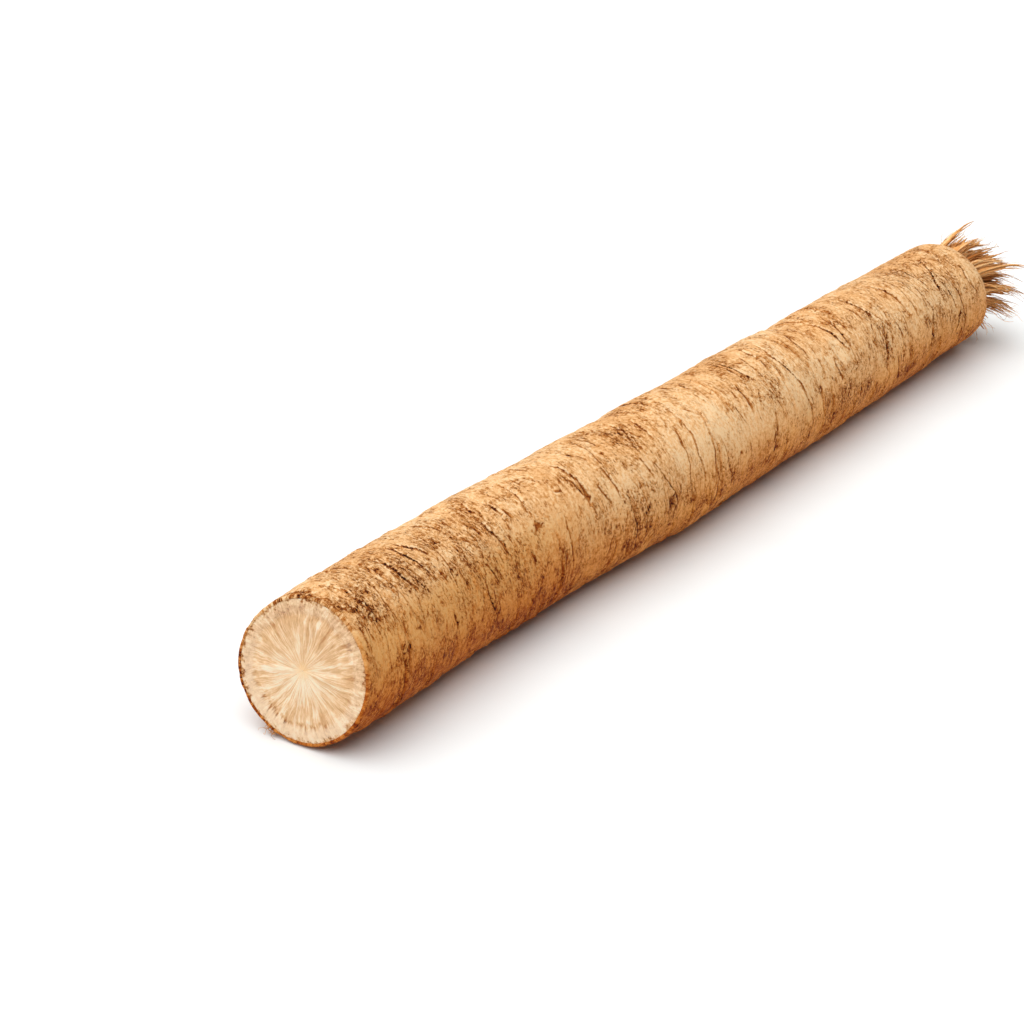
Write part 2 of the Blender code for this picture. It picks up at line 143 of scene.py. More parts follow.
# Cracks that the photo shows: (half width in mm, darkness, (mm from the cut, degrees from the top), ...)
LONG_CRACKS = (
    (0.30, 0.62, (0.6, -16), (2.4, -29), (5.3, -35), (7.3, -43), (7.6, -53)),
    (0.30, 0.62, (4.4, 2), (5.8, -12), (6.6, -25), (8.1, -33), (8.3, -40)),
    (0.30, 0.62, (5.6, -24), (6.9, -31), (7.4, -38)),
    (0.30, 0.62, (1.5, -38), (1.8, -48), (1.9, -60)),
    (0.30, 0.62, (3.7, -41), (4.1, -49), (4.3, -58)),
    (0.30, 0.62, (2.0, 30), (1.5, 12), (1.4, -4)),
    (0.30, 0.62, (2.9, -20), (4.3, -31), (5.0, -46)),
    (0.26, 0.8, (4.7, 3), (4.9, -6), (5.3, -12)),
    (0.34, 0.9, (19.7, -2), (20.6, -14), (20.6, -28), (21.4, -40)),
    (0.24, 1.0, (26.4, 8), (26.7, -8), (27.2, -22), (27.4, -33)),
    (0.36, 1.0, (29.0, 6), (29.6, -4), (30.8, -12), (31.2, -22)),
    (0.26, 0.9, (30.0, -36), (30.1, -42), (30.3, -48)),
    (0.22, 0.8, (28.6, -68), (28.7, -77), (28.8, -86)),
    (0.24, 0.8, (43.0, -48), (44.0, -62), (44.4, -70)),
    (0.22, 0.8, (40.4, -62), (40.6, -78), (41.3, -90)),
    (0.24, 0.8, (51.3, 8), (50.8, -4), (51.2, -10)),
    (0.36, 0.9, (49.7, -17), (50.2, -28), (50.7, -45), (50.6, -56)),
    (0.26, 0.8, (54.8, -8), (55.2, -17), (55.4, -26)),
    (0.34, 0.8, (56.4, -60), (56.5, -69), (56.6, -78)),
    (0.26, 0.7, (61.7, 8), (61.9, -8), (61.2, -26), (61.0, -38)),
    (0.36, 0.9, (60.0, -42), (60.8, -46), (61.4, -50)),
    (0.34, 0.9, (74.2, -4), (75.6, -12), (76.4, -30), (76.2, -48), (75.4, -56)),
    (0.26, 0.7, (80.6, -40), (81.2, -48), (81.6, -60)),
    (0.26, 0.9, (84.7, -30), (85.0, -45), (84.7, -60)),
    (0.26, 0.7, (95.2, -36), (95.5, -47), (95.7, -58)),
    (0.24, 0.7, (99.3, 12), (99.4, -8), (98.4, -20)),
    (0.28, 0.7, (103.8, 0), (103.2, -14), (102.4, -32)),
    (0.24, 0.6, (113.0, -12), (113.4, -40), (113.0, -60), (113.0, -90)),
    (0.32, 0.9, (124.0, 8), (124.2, 1), (124.3, -6)),
    (0.24, 0.6, (123.0, -12), (123.4, -19), (123.6, -26)),
    (0.32, 1.0, (140.3, 4), (140.5, -12), (141.3, -28)),
    (0.24, 0.8, (151.3, 14), (149.2, 0), (148.7, -14)),
    (0.28, 1.0, (154.3, 4), (153.4, -14), (153.3, -28), (154.7, -44), (156.0, -62), (156.4, -78)),
    (0.24, 0.7, (171.2, -46), (171.7, -58), (172.0, -70)),
    (0.26, 0.9, (175.4, 0), (176.2, -18), (177.2, -40), (178.0, -51)),
    (0.36, 0.8, (191.8, 4), (192.6, -12), (193.8, -30), (194.4, -42)),
    (0.24, 0.6, (194.3, -52), (195.2, -72), (196.0, -90)),
    (0.28, 0.7, (200.0, -50), (200.6, -59), (201.0, -68)),
    (0.28, 0.8, (204.4, 2), (205.4, -12), (205.7, -30), (206.5, -54)),
    (0.28, 0.7, (215.6, -36), (216.4, -60), (214.8, -80), (215.4, -98)),
    (0.26, 1.0, (229.1, -4), (227.8, -20), (224.4, -38), (223.3, -58)),
    (0.26, 0.9, (227.0, -34), (227.6, -60), (227.8, -70)),
    (0.26, 0.9, (230.8, -70), (228.4, -86), (227.0, -98)),
    (0.24, 0.7, (238.4, -34), (237.6, -47), (237.0, -60)),
)
# Small dark knots: (mm from the cut, from and to degrees, mm wide)
MARKS = (
    (12.8, -78, -74, 0.50), (30.2, -41, -36, 0.50), (60.4, -50, -44, 0.70), (81.6, -6, -1, 0.60),
    (99.4, -90, -80, 0.90), (126.5, -80, -76, 0.50), (134.5, -48, -43, 0.45),
    (140.8, -97, -93, 0.60), (162.5, -70, -64, 0.45), (229.4, -6, 0, 0.60),
)
LONG_CRACK_DEPTH = 0.00042
MARK_DEPTH = 0.00024
MARK_SLANT = 0.0005
# Cracks placed by chance: (how many, margins at the cut and the crown, half arc, half width, slant,
# darkness, whether most of them lie where the bark is speckled)
RANDOM_CRACKS = (
    (150, (0.006, 0.008), (0.20, 0.55), (0.00016, 0.00024), 0.0020, (0.6, 1.0), False),
    (900, (0.003, 0.004), (0.02, 0.16), (0.00020, 0.00036), 0.0009, (0.4, 1.0), True),
)
RANDOM_SEED = 41
RANDOM_DEPTH = (0.00006, 0.00022)
PLAIN_SHARE = 0.30
CRACK_JITTER = 0.0002
# A crack's shape and strength. Distances across it are in half widths.
LIP_SHARE = 0.46
LIP_PLACE = 2.1
CRACK_FADE = (3.5, 5.0)
CRACK_SPREAD = 2.2
FAINTEST = 0.45
DARK_DEPTH = 0.0005

# Where the bark is densely speckled, and where it is rubbed pale: (mm from the cut, degrees, mm, degrees)
SPECKLED = (
    (8, -30, 5, 24), (24, -28, 9, 28), (40, -45, 9, 32), (52, -66, 8, 24), (92, -84, 14, 22),
    (97, -12, 5, 16), (144, -43, 6, 20), (178, -84, 9, 22), (196, -56, 7, 24), (216, -10, 6, 16),
    (226, -50, 9, 30), (60, 120, 14, 40), (110, 95, 12, 30), (160, 140, 16, 34), (205, 100, 12, 30),
)
RUBBED = (
    (68, -44, 8, 22), (80, -24, 5, 14), (112, -50, 13, 30), (124, -30, 8, 22), (134, -62, 8, 20),
    (153, -52, 6, 22), (164, -28, 7, 20), (206, -38, 6, 18), (85, 80, 14, 34), (135, 115, 12, 34),
    (185, 75, 12, 30),
)

# The finer grid of the bark, whose edge at the cut is as thick as the skin
BARK_STEP = 0.000305
BARK_SEGMENTS = 120
BARK_START = 0.00060
SHOULDER_RINGS = 24
SKIN = 0.00070
SEAT_ROUND = 0.0004
# Noise in the height of the bark and of the flesh: (cell in mm, mm high, seed)
WARP_NOISE = ((2.6, 0.38, 1), (1.1, 0.24, 2))
BARK_NOISE = (
    ((3.0, 9.0, 9.0), 0.10, 3), ((1.3, 5.0, 5.0), 0.09, 4),
    ((0.7, 2.6, 2.6), 0.07, 5), ((0.8, 1.7, 1.7), 0.06, 6),
)
RAGGED_NOISE = ((1.1, 0.20, 7),)
GRAIN_NOISE = ((0.7, 0.03, 11), (0.35, 0.03, 16))
STUB_NOISE = ((1.1, 0.5, 12), (0.5, 0.3, 13))
STUB_SHADES = ((0.8, 0.2, 14),)
# The bends of the flesh's radial fibres, in radians, and their height, with cells in shares of the radius
SWIRL_NOISE = ((5.0, 0.05, 8), (1.6, 0.012, 15))
TUFT_NOISE = (((1 / 13, 1 / 13, 1 / 7), 0.035, 9), ((1 / 30, 1 / 30, 1 / 10), 0.035, 10))
# How far the ragged edge, the plain strip behind it and the brown rim reach from the cut
RAGGED_REACH = 0.0018
RAGGED_PUSH = 0.7
PLAIN_EDGE = (0.0002, 0.0022)
PLAIN_SEAT = 0.0030
RIM_REACH = (0.0002, 0.0012)
# The side of the cut where the skin is torn most, and the earthy stain of the cut end
TORN_TURN = radians(25)
TORN_MOST = 0.6
EARTHY_SIDE = (0.45, 0.85)
EARTHY_REACH = (0.050, 0.095)

# The cut face's grid, with rings that tuck its edge in under the skin: (share of its radius, mm deep).
# FACE_EDGE is where the face starts to drop at its edge, where it ends, and the drop in mm.
FACE_RINGS = 120
FACE_SEGMENTS = 360
FACE_MIDDLE = 0.012
FACE_TUCK = ((1.0, 0.12), (0.985, 0.60))
FACE_OVERLAP = 0.00006
FACE_EDGE = (0.90, 1.0, 0.12)
# Brown tints of the cut face: (share of the radius, degrees from the top, share, degrees)
FACE_STAINS = (
    (0.81, 17, 0.06, 9), (0.78, -11, 0.06, 10), (0.86, -34, 0.07, 10), (0.93, -53, 0.06, 14),
    (0.49, -32, 0.11, 15), (0.62, 30, 0.12, 16), (0.58, 74, 0.10, 12), (0.85, 95, 0.08, 16),
    (0.86, 128, 0.07, 18), (0.80, 215, 0.05, 9),
)

# The crown's fibres, as in the CAD model
STUB_GAP = 0.00035
STUB_RADIUS = SEAT_RADIUS - SEAT_DRAFT - STUB_GAP
STUB_HEIGHT = 0.0024
FIBRE_SEED = 23
FIBRE_COUNT = 104
FIBRE_POINTS = 6
GOLDEN_TURN = pi * (3.0 - sqrt(5.0))
FIBRE_LENGTH = (0.0110, 0.0210)
FIBRE_SUNK = 0.0011
FIBRE_REACH = 0.93
FIBRE_JITTER = 0.15
LONG_FIBRE_RARITY = 1.3
START_TILT = radians(17)
TIP_TILT = radians(38)
STRAY = 0.14
DROOP = (0.0010, 0.0050)
SWEEP = Vector((0.0, -0.50, -0.16))
WORN_SIDE = (-0.05, 0.70)
WORN_SHARE = 0.63
LOW_FIBRE = 0.0040
LOWEST_FIBRE = 0.0010

# The strands that each of those fibres is split into
STRAND_SEED = 77
# (how many, half width from and to, share of the fibre's length from and to)
STRAND_KINDS = (
    (6, 0.00040, 0.00072, 0.55, 0.92),
    (5, 0.00018, 0.00034, 0.50, 1.00),
    (4, 0.00007, 0.00014, 0.60, 1.00),
)
STRAND_POINTS = 11
STRAND_SIDES = 4
STRAND_FLATNESS = 0.34
STRAND_CURL = 0.0004
STRAND_TAPER = (0.8, 2.2)
STRAND_SHADES = 0.3
STRAND_TWIST = 0.4
LOCK_RADIUS = 0.0012
LOCK_NARROWING = 0.3
LOCK_SHADE = (0.20, 0.85)
CURL_TURNS = (0.5, 1.6)
# How low the strands may lie, and how far their tips may pass the CAD model's box
GROUND_GAP = 0.0004
TIP_ROOM = 0.001
STUB_SEGMENTS = 150
STUB_RINGS = 40
STUB_SHADE = 0.25
# The crown's single hairs, then the torn wisps at the lower left of the cut
HAIR_SIDES = 3
HAIR_COUNT = 90
HAIR_POINTS = 9
HAIR_START = (0.0, 0.5)
HAIR_RADIUS = 0.00006
HAIR_CURL = 0.0015
HAIR_TAPER = (1.3, 0.6)
HAIR_SHADE = (0.0, 0.8)
RIM_HAIR_SEED = 9
RIM_HAIRS = 16
RIM_HAIR_TURN = (158, 4)
RIM_HAIR_ROOT = (0.0003, CUT_RADIUS - 0.0002)
RIM_HAIR_LEAN = (-0.5, 0.2)
RIM_HAIR_POINTS = 8
RIM_HAIR_LENGTH = (0.0005, 0.0015)
RIM_HAIR_CURL = 0.0006
RIM_HAIR_TAPER = (0.9, 0.5)
RIM_HAIR_SHADE = (0.1, 0.6)
RIM_HAIR_LOWEST = 0.0001

# The photo's camera, fitted to the root's outline: where the cut face's middle lies from it, in cut radii
FOCAL_PIXELS = 2250.6
PHOTO_PIXELS = 1024
SENSOR = 36.0
CAMERA_TURN = radians(50.75)
CAMERA_DIP = radians(28.0)
CUT_IN_VIEW = (-2.6555, 2.0180, 28.5453)

# The studio: a white floor just under the root, one large round light overhead, and a dim white room
FLOOR_HALF = 4.0
FLOOR_DROP = 0.00005
FLOOR_TONES = ((0.890, 0.905, 0.900, 1.0), (0.910, 0.925, 0.920, 1.0))
LIGHT_TOWARD = (-0.15, 0.12, 1.0)
LIGHT_DISTANCE = 2.0
LIGHT_SIZE = 4.4
LIGHT_POWER = 102.0
ROOM_BRIGHTNESS = 0.14


def smooth(low, high, value):
    """0 below low, 1 above high, and an even curve between them."""
    t = np.clip((value - low) / (high - low), 0.0, 1.0)
    return t * t * (3.0 - 2.0 * t)


def through(station, column):
    """One column of SECTIONS, in metres, on a smooth curve through its rows."""
    places, values = MM * np.array([(row[0], row[column]) for row in SECTIONS]).T
    slopes = np.gradient(values, places)
    row = np.clip(np.searchsorted(places, station, side="right") - 1, 0, len(places) - 2)
    step = places[row + 1] - places[row]
    t = np.clip((station - places[row]) / step, 0.0, 1.0)
    start = (1.0 - t) ** 2 * ((1.0 + 2.0 * t) * values[row] + t * step * slopes[row])
    end = t**2 * ((3.0 - 2.0 * t) * values[row + 1] + (t - 1.0) * step * slopes[row + 1])
    return start + end


def turned_away(angle, middle):
    """How far an angle is from a middle one, the short way round."""
    return np.abs((angle - middle + pi) % (2 * pi) - pi)


def lattice_noise(points, seed):
    """Smooth noise from -1 to 1, with cells of size 1."""
    cell = np.floor(points).astype(np.int64)
    t = points - cell
    t = t * t * (3.0 - 2.0 * t)
    total = np.zeros(points.shape[:-1])
    for corner in itertools.product((0, 1), repeat=3):
        at = cell + np.array(corner)
        mixed = at[..., 0] * 73856093 ^ at[..., 1] * 19349663 ^ at[..., 2] * 83492791 ^ seed * 6542989
        mixed = (mixed ^ (mixed >> 13)) * 1274126177 & 0x7FFFFFFF
        mixed = (mixed ^ (mixed >> 15)) * 668265263 & 0x7FFFFFFF
        value = ((mixed >> 8) & 0xFFFF) / 32767.5 - 1.0
        weight = np.prod(np.where(np.array(corner) == 1, t, 1.0 - t), axis=-1)
        total += value * weight
    return total


def layered(points, rows):
    """The sum of noises, each given as (size of its cells, height, seed)."""
    return sum(height * lattice_noise(points / np.array(cell), seed) for cell, height, seed in rows)


def pressed_share(station):
    """1 along the stretch that the root rests on, falling to 0 at the two ends."""
    return 1.0 - smooth(REST_HALF_LENGTH, ROOT_LENGTH / 2, np.abs(station - ROOT_LENGTH / 2))


def centre_line(station):
    """(sideways, height) of the root's middle at a distance from the cut."""
    clearance = np.where(station < ROOT_LENGTH / 2, CUT_CLEARANCE, CROWN_CLEARANCE)
    pressed = pressed_share(station)
    lift = clearance * (1.0 - pressed) - REST_DEPTH * pressed
    return through(station, 2), through(station, 1) + lift


def under_share(station, angle):
    """1 where the root is pressed flat, 0 elsewhere."""
    return (1.0 - smooth(*REST_HALF_ANGLE, turned_away(angle, pi))) * pressed_share(station)


def bark_share(station, angle):
    """How much of the slow relief shows: none at the two ends, nor where the root is pressed flat."""
    start = smooth(0.0, PLAIN_CUT_END, station)
    end = 1.0 - smooth(ROOT_LENGTH - PLAIN_CROWN_END, ROOT_LENGTH - SHOULDER, station)
    return start * end * (1.0 - under_share(station, angle))


def scar_relief(station, angle):
    """Height of the rootlet scars above the plain bark."""
    draw = random.Random(SCAR_SEED)
    height = np.zeros_like(station)
    for _ in range(SCAR_COUNT):
        place = draw.uniform(SCAR_MARGIN, ROOT_LENGTH - SCAR_MARGIN)
        round_it = turned_away(angle, draw.uniform(0, 2 * pi)) * CUT_RADIUS
        rise = draw.uniform(*SCAR_HEIGHT)
        spread = draw.uniform(*SCAR_SPREAD)
        height += rise * np.exp(-((station - place) ** 2 + round_it**2) / spread**2)
    return height


def waves(station, angle, rows):
    """The sum of waves that wind round the root, each given as (lobes, pitch, start, height)."""
    return sum(
        height * np.sin(lobes * angle + station / pitch + start) for lobes, pitch, start, height in rows
    )


def lean(station, side, height):
    """How far along X the oblique cut and the leaning crown move a point that is off the centre line."""
    cut = height * tan(CUT_LEAN_UP) - side * tan(CUT_LEAN_SIDE)
    crown = height * tan(CROWN_LEAN_UP) + side * tan(CROWN_LEAN_SIDE)
    near_cut = 1.0 - smooth(0.0, CUT_LEAN_REACH, station)
    near_crown = smooth(ROOT_LENGTH - CROWN_LEAN_REACH, ROOT_LENGTH - SHOULDER, station)
    return cut * near_cut + crown * near_crown


def out_of_round(station, angle):
    """How much wider or narrower than a circle the cut end is, as a factor."""
    near_cut = 1.0 - smooth(0.0, CUT_SIDES_REACH, station)
    sides = sum(
        share * np.exp(-((turned_away(angle, radians(middle)) / radians(spread)) ** 2))
        for middle, spread, share in CUT_SIDES
    )
    return 1.0 + near_cut * sides


def placed(station, angle, radius):
    """Points of the lying root, from distances from the cut, turns from the top, and radii."""
    middle_y, middle_z = centre_line(station)
    radius = radius * out_of_round(station, angle)
    side, height = radius * np.sin(angle), radius * np.cos(angle)
    x = station - ROOT_LENGTH / 2 + lean(station, side, height)
    return np.stack([x, middle_y + side, np.maximum(middle_z + height, 0.0)], axis=-1) + ROOT_MIDDLE


def unrolled(station, angle):
    """The same surface as an even, straight cylinder in mm, which noise is laid out on."""
    radius = 1000 * CUT_RADIUS
    return np.stack([1000 * station, radius * np.sin(angle), radius * np.cos(angle)], axis=-1)


def lowness(angle):
    """0 along the top of the root, 1 along the bottom."""
    return 0.5 - 0.5 * np.cos(angle)


def torn_side(angle, low, least):
    """1 on the side of the cut where the skin is torn most, down to the least share on the other."""
    return least + (1.0 - least) * smooth(low, TORN_MOST, np.sin(angle + TORN_TURN))


def patches(place, angle, rows):
    """1 inside patches given as (place, degrees, reach, degrees), fading to 0 outside them."""
    share = 0.0
    for middle, turn, reach, spread in rows:
        u = (place - middle) / reach
        v = np.degrees(turned_away(angle, radians(turn))) / spread
        share = np.maximum(share, np.exp(-(u * u + v * v)))
    return share


def round_grid(rings, segments):
    """Each column of a table of rings, spread round the root, and the angle of each point."""
    turns = np.linspace(-pi, pi, segments, endpoint=False)
    columns = [np.repeat(column[:, None], segments, axis=1) for column in np.array(rings).T]
    return *columns, np.tile(turns, (len(rings), 1))


def quads(corner):
    """The faces between rings of corners, closed round each ring."""
    after = np.roll(corner, -1, axis=1)
    return np.stack([corner[:-1], after[:-1], after[1:], corner[1:]], axis=-1).reshape(-1, 4).tolist()


def grid_mesh(name, points, start=None, end=None):
    """A mesh of rings, with an optional point that caps either end."""
    corner = np.arange(points[..., 0].size).reshape(points.shape[:2])
    faces = quads(corner)
    verts = points.reshape(-1, 3).tolist()
    for cap, ring in ((start, corner[0, ::-1]), (end, corner[-1])):
        if cap is not None:
            faces += [[len(verts), a, b] for a, b in zip(ring.tolist(), np.roll(ring, -1).tolist())]
            verts.append(cap.tolist())
    mesh = bpy.data.meshes.new(name)
    mesh.from_pydata(verts, [], faces)
    mesh.shade_smooth()
    return mesh


def add_attribute(mesh, name, values):
    """Stores one number, or one vector, on each point of a mesh. Points left over get the last value."""
    values = np.asarray(values, np.float32)
    vector = values.ndim > 1 and values.shape[-1] == 3
    flat = values.reshape(-1, 3) if vector else values.reshape(-1)
    missing = len(mesh.vertices) - len(flat)
    flat = np.concatenate([flat, np.repeat(flat[-1:], missing, axis=0)])
    made = mesh.attributes.new(name, "FLOAT_VECTOR" if vector else "FLOAT", "POINT")
    made.data.foreach_set("vector" if vector else "value", flat.ravel())


def add_object(name, data):
    made = bpy.data.objects.new(name, data)
    bpy.context.scene.collection.objects.link(made)
    return made


def add_piece(name, mesh, made_of, slot, stands_for, **attributes):
    """Adds a piece of the root. The attributes are what its material reads on each point."""
    for label, values in attributes.items():
        add_attribute(mesh, label, values)
    piece = add_object(name, mesh)
    mesh.materials.append(made_of)
    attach(piece, "root")
    if stands_for:
        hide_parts(stands_for)


def random_arc(draw, turn):
    return turn, draw.uniform(*WRINKLE_HALF_ARC), draw.uniform(*WRINKLE_DEPTH)


def wrinkle_lines():
    """[(distance from the cut, [(middle angle, half arc, depth), ...])] of the folds beside LONG_CRACKS."""
    draw = random.Random(WRINKLE_SEED)
    lines = []
    for place in CREASE_PLACES:
        arcs = [random_arc(draw, radians(draw.uniform(*turns))) for turns in CREASE_TURNS]
        lines.append((place * MM, arcs))
    for (here, _), (after, _) in zip(lines[:], lines[1:]):
        more = round((after - here) / WRINKLE_STEP) - 1
        for number in range(max(0, more)):
            place = here + (after - here) * (number + draw.uniform(*WRINKLE_SHIFT)) / (more + 1)
            turn = draw.uniform(0, 2 * pi)
            arcs = [random_arc(draw, turn), random_arc(draw, turn + draw.uniform(*WRINKLE_OPPOSITE))]
            lines.append((place, arcs))
    return sorted(lines)


def arc_path(draw, place, middle, half, slant):
    """The points of a crack that lies round the root, a little slanting and uneven."""
    slope = draw.uniform(-slant, slant)
    return [
        (place + slope * step + draw.uniform(-CRACK_JITTER, CRACK_JITTER), middle + half * step)
        for step in (-1.0, -0.5, 0.0, 0.5, 1.0)
    ]


def all_cracks():
    """[(points as (distance from the cut, angle), half width, depth, darkness), ...]"""
    cracks = []
    draw = random.Random(RANDOM_SEED)
    for line, arcs in wrinkle_lines():
        for middle, half, depth in arcs:
            fold = arc_path(draw, line, middle, half, FOLD_SLANT)
            cracks.append((fold, FOLD_WIDTH, FOLD_SHARE * depth, FOLD_DARKNESS))
            for _ in range(SPLIT_COUNT):
                beside = line + draw.uniform(-SPLIT_AWAY, SPLIT_AWAY)
                turn = middle + half * draw.uniform(-SPLIT_TURN, SPLIT_TURN)
                split = arc_path(draw, beside, turn, half * draw.uniform(*SPLIT_SIZE), SPLIT_SLANT)
                cracks.append((split, SPLIT_WIDTH, SPLIT_SHARE * depth, FOLD_DARKNESS))
    for width, darkness, *points in LONG_CRACKS:
        path = [(place * MM, radians(turn)) for place, turn in points]
        cracks.append((path, width * MM, LONG_CRACK_DEPTH, darkness))
    for place, start, end, width in MARKS:
        middle, half = radians(start + end) / 2, radians(end - start) / 2
        cracks.append((arc_path(draw, place * MM, middle, half, MARK_SLANT), width * MM, MARK_DEPTH, 1.0))
    for count, (near_cut, near_crown), half_arcs, widths, slant, darkness, crowded in RANDOM_CRACKS:
        for _ in range(count):
            place = draw.uniform(near_cut, ROOT_LENGTH - near_crown)
            turn, half = draw.uniform(-pi, pi), draw.uniform(*half_arcs)
            width, depth = draw.uniform(*widths), draw.uniform(*RANDOM_DEPTH)
            share = PLAIN_SHARE + (1.0 - PLAIN_SHARE) * patches(place / MM, turn, SPECKLED)
            if crowded and draw.random() >= share:
                continue
            path = arc_path(draw, place, turn, half, slant)
            cracks.append((path, width, depth, draw.uniform(*darkness)))
    return cracks


def crack_fields(station, angle, warp):
    """(across, strength, height) on a grid of rings. Across is the signed distance from the nearest crack
    in half widths, which stays sharp between the points. Strength fades beside it and at its ends."""
    across, strength, height = np.zeros((3, *station.shape))
    for points, width, depth, darkness in all_cracks():
        places = [place for place, _ in points]
        beside = CRACK_FADE[1] * width + MM
        block = slice(*np.searchsorted(station[:, 0], [min(places) - beside, max(places) + beside]))
        middle = points[len(points) // 2][1]
        along = station[block] + warp[block]
        turn = (angle[block] - middle + pi) % (2 * pi) - pi
        nearest, side, progress = np.ones_like(along), np.ones_like(along), np.zeros_like(along)
        for number, ((u0, v0), (u1, v1)) in enumerate(zip(points, points[1:])):
            du, dv = u1 - u0, (v1 - v0) * CUT_RADIUS
            pu, pv = along - u0, (turn - (v0 - middle)) * CUT_RADIUS
            t = np.clip((pu * du + pv * dv) / (du * du + dv * dv), 0.0, 1.0)
            away = np.hypot(pu - t * du, pv - t * dv)
            closer = away < nearest
            nearest = np.where(closer, away, nearest)
            side = np.where(closer, np.sign(pu * dv - pv * du), side)
            progress = np.where(closer, (number + t) / (len(points) - 1), progress)
        nearest = nearest / width
        window = np.sqrt(np.clip(np.sin(pi * progress), 0.0, 1.0))
        groove = window * np.exp(-(nearest**2))
        lip = window * np.exp(-((nearest - LIP_PLACE) ** 2))
        reach = darkness * min(1.0, FAINTEST + depth / DARK_DEPTH) * window
        reach = reach * (1.0 - smooth(*CRACK_FADE, nearest))
        before = strength[block] * np.exp(-((across[block] / CRACK_SPREAD) ** 2))
        taken = reach * np.exp(-((nearest / CRACK_SPREAD) ** 2)) > before
        across[block] = np.where(taken, side * nearest, across[block])
        strength[block] = np.where(taken, reach, strength[block])
        height[block] += depth * (LIP_SHARE * lip - groove)
    return across, strength, height


def bark_grid():
    """(radius, station) of each ring, from the cut face's edge to the bottom of the crown's hollow."""
    rim = [
        (CUT_RADIUS - SKIN - 0.00015, 0.00035),
        (CUT_RADIUS - SKIN, 0.00002),
        (CUT_RADIUS - 0.65 * SKIN, -0.00004),
        (CUT_RADIUS - 0.25 * SKIN, 0.00006),
        (CUT_RADIUS - 0.05 * SKIN, 0.00030),
    ]
    stations = np.arange(BARK_START, ROOT_LENGTH - SHOULDER, BARK_STEP)
    body = [(through(station, 1), station) for station in stations]
    shoulder = [
        (CROWN_RADIUS - SHOULDER * (1 - cos(turn)), ROOT_LENGTH - SHOULDER * (1 - sin(turn)))
        for turn in np.linspace(0.0, SHOULDER_TURN, SHOULDER_RINGS + 1)[1:]
    ]
    seat = [
        (SEAT_RADIUS - 0.5 * SEAT_DRAFT, SEAT_TOP - SEAT_ROUND),
        (SEAT_RADIUS - SEAT_DRAFT, SEAT_BOTTOM),
        (0.3 * SEAT_RADIUS, SEAT_BOTTOM),
    ]
    return rim + body + shoulder + seat


def make_bark(made_of):
    radius, station, angle = round_grid(bark_grid(), BARK_SEGMENTS)
    sheet = unrolled(station, angle)
    warp = MM * layered(sheet, WARP_NOISE)
    order = np.argsort(station[:, 0], kind="stable")
    fields = np.zeros((3, *station.shape))
    fields[:, order] = crack_fields(station[order], angle[order], warp[order])
    across, strength, cracked = fields
    on_skin = smooth(CUT_RADIUS - SKIN, CUT_RADIUS - 0.4 * SKIN, radius)
    ragged = MM * layered(sheet, RAGGED_NOISE) * (1.0 - smooth(0.0, RAGGED_REACH, station)) * on_skin
    slow = bark_share(station, angle) * (scar_relief(station, angle) + waves(station, angle, LUMPS))
    shown = smooth(*PLAIN_EDGE, station) * (1.0 - smooth(SEAT_TOP - PLAIN_SEAT, SEAT_TOP, station))
    shown = shown * (1.0 - under_share(station, angle))
    lifted = radius + slow + shown * (MM * layered(sheet, BARK_NOISE) + cracked) + ragged
    wander = bark_share(station, angle) * waves(station, angle, WANDERS)
    points = placed(station + wander + RAGGED_PUSH * np.abs(ragged), angle, lifted)
    mesh = grid_mesh("bark", points, end=placed(SEAT_BOTTOM, 0.0, 0.0))
    rim = (1.0 - smooth(*RIM_REACH, station)) * torn_side(angle, -0.5, 0.30)
    earthy = smooth(*EARTHY_SIDE, -np.sin(angle)) * (1.0 - smooth(*EARTHY_REACH, station))
    speckled, rubbed = (patches(station / MM, angle, rows) for rows in (SPECKLED, RUBBED))
    spots = {"speckled": speckled, "rubbed": rubbed, "low": lowness(angle), "rim": rim, "earthy": earthy}
    add_piece("bark", mesh, made_of, "bark", "root", place=sheet, across=across, crack=strength, **spots)


def make_flesh(made_of):
    rings = [(share, 0.0) for share in np.linspace(FACE_MIDDLE, 1.0, FACE_RINGS)]
    share, depth, angle = round_grid([*rings, *FACE_TUCK], FACE_SEGMENTS)
    radius = share * (CUT_RADIUS - SKIN + FACE_OVERLAP)
    part = radius / CUT_RADIUS
    groove = RING_GROOVE * np.exp(-(((part - RING_SHARE) / RING_WIDTH) ** 2))
    rays = sum(height * np.sin(number * angle + turn) for number, turn, height in RAYS)
    flat = np.stack([radius * np.sin(angle), radius * np.cos(angle), 0 * radius], axis=-1) / MM
    swirl = angle + layered(flat, SWIRL_NOISE)
    fan = np.stack([np.cos(swirl), np.sin(swirl), part], axis=-1)
    fine = smooth(0.0, 0.12, share) * layered(fan, TUFT_NOISE) + layered(flat, GRAIN_NOISE)
    inside, outside, drop = FACE_EDGE
    sunk = depth + drop * smooth(inside, outside, share)
    along = MM * (sunk - fine) + groove - rays * np.sin(pi * part)
    mesh = grid_mesh("cut_face", placed(along, angle, radius), start=placed(0.0, 0.0, 0.0))
    tints = {"stained": patches(part, angle, FACE_STAINS), "left": torn_side(angle, -0.3, 0.45)}
    low = lowness(angle + 0.25)
    add_piece("cut_face", mesh, made_of, "flesh", "root", flat=flat, fan=fan, share=part, low=low, **tints)


def stub_top(share):
    """Distance from the cut of the stub's dome, at a share of its radius."""
    return SEAT_TOP + STUB_HEIGHT * sqrt(1.0 - share**2)


def kept_up(height):
    """The height of a fibre that bends along the ground instead of into it."""
    if height > LOW_FIBRE:
        return height
    room = LOW_FIBRE - LOWEST_FIBRE
    return LOWEST_FIBRE + room * exp((height - LOW_FIBRE) / room)


